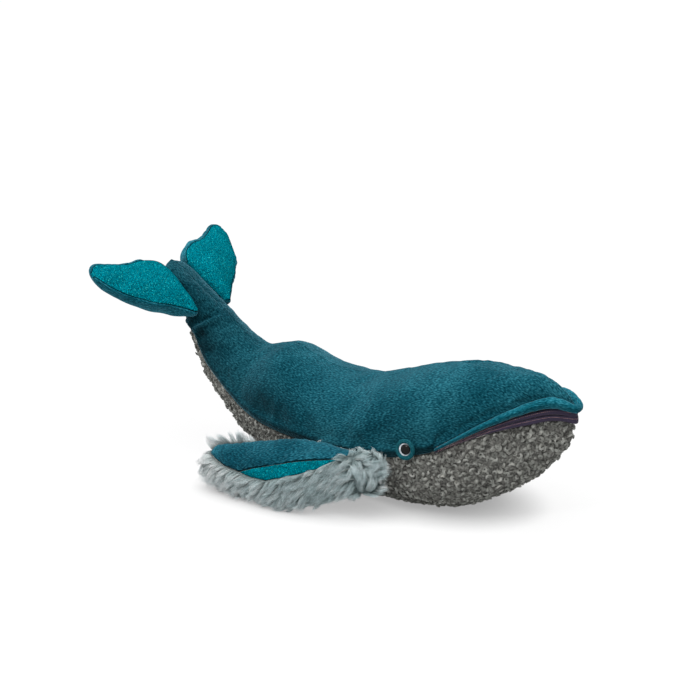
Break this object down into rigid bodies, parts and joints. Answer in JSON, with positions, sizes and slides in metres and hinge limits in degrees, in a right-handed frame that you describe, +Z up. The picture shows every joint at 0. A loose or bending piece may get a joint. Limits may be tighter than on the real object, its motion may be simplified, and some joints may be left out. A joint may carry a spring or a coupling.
{
  "type": "plush whale toy",
  "caption": "Stuffed plush whale lying on its belly with a raised tail: velour back, curly fleece belly, furry hinged flippers, glitter tail flukes and safety eyes.",
  "frame": {"origin": "middle of the outline at its lowest face, on the floor that the whale lies on", "axes": "+X from the tail to the nose, +Y to the whale's left, +Z up"},
  "size_m": [0.5172, 0.2582, 0.2088],
  "materials": {
    "velour": "short-pile velour, dark teal",
    "glitter_fabric": "teal fabric covered with fine glitter",
    "fleece": "curly grey fleece",
    "fur": "long-pile grey-green fur",
    "lining": "dark aubergine fabric with woven pinstripes",
    "eye_ring_felt": "thick light teal felt",
    "eye_white_plastic": "polished",
    "eye_black_plastic": "polished",
    "washer_plastic": "moulded",
    "filling": "loose polyester fibre"
  },
  "bodies": {
    "body": {"eye_surround_right": "eye_ring_felt", "eye_white_right": "eye_white_plastic", "eye_pupil_right": "eye_black_plastic", "eye_washer_right": "washer_plastic", "back_panel_right": "velour", "eye_surround_left": "eye_ring_felt", "eye_white_left": "eye_white_plastic", "eye_pupil_left": "eye_black_plastic", "eye_washer_left": "washer_plastic", "back_panel_left": "velour", "belly_panel": "fleece", "body_filling": "filling", "upper_lip_roll": "velour", "mouth_lining_upper": "lining", "mouth_lining_lower": "lining"},
    "flipper_right": {"flipper_top_panel_right": "velour", "flipper_glitter_stripe_right": "glitter_fabric", "flipper_fur_panel_right": "fur", "flipper_filling_right": "filling"},
    "flipper_left": {"flipper_top_panel_left": "velour", "flipper_glitter_stripe_left": "glitter_fabric", "flipper_fur_panel_left": "fur", "flipper_filling_left": "filling"},
    "fluke_right": {"fluke_top_panel_right": "glitter_fabric", "fluke_under_panel_right": "velour", "fluke_filling_right": "filling"},
    "fluke_left": {"fluke_top_panel_left": "glitter_fabric", "fluke_under_panel_left": "velour", "fluke_filling_left": "filling"}
  },
  "joints": [
    {"name": "flipper_hinge_right", "type": "hinge", "parent": "body", "child": "flipper_right", "pos_m": [0.03183, -0.0774, 0.05727], "axis": [-1, 0, 0], "range_deg": [0, 70], "stiffness_Nm_per_rad": 0.1},
    {"name": "flipper_hinge_left", "type": "hinge", "parent": "body", "child": "flipper_left", "pos_m": [0.03183, 0.0774, 0.05727], "axis": [1, 0, 0], "range_deg": [0, 70], "stiffness_Nm_per_rad": 0.1},
    {"name": "fluke_hinge_right", "type": "hinge", "parent": "body", "child": "fluke_right", "pos_m": [-0.20107, -0.02176, 0.16751], "axis": [-0.7752, 0.1179, 0.6206], "range_deg": [-12, 25], "stiffness_Nm_per_rad": 0.1},
    {"name": "fluke_hinge_left", "type": "hinge", "parent": "body", "child": "fluke_left", "pos_m": [-0.20107, 0.02176, 0.16751], "axis": [0.7752, 0.1179, -0.6206], "range_deg": [-12, 25], "stiffness_Nm_per_rad": 0.1}
  ]
}
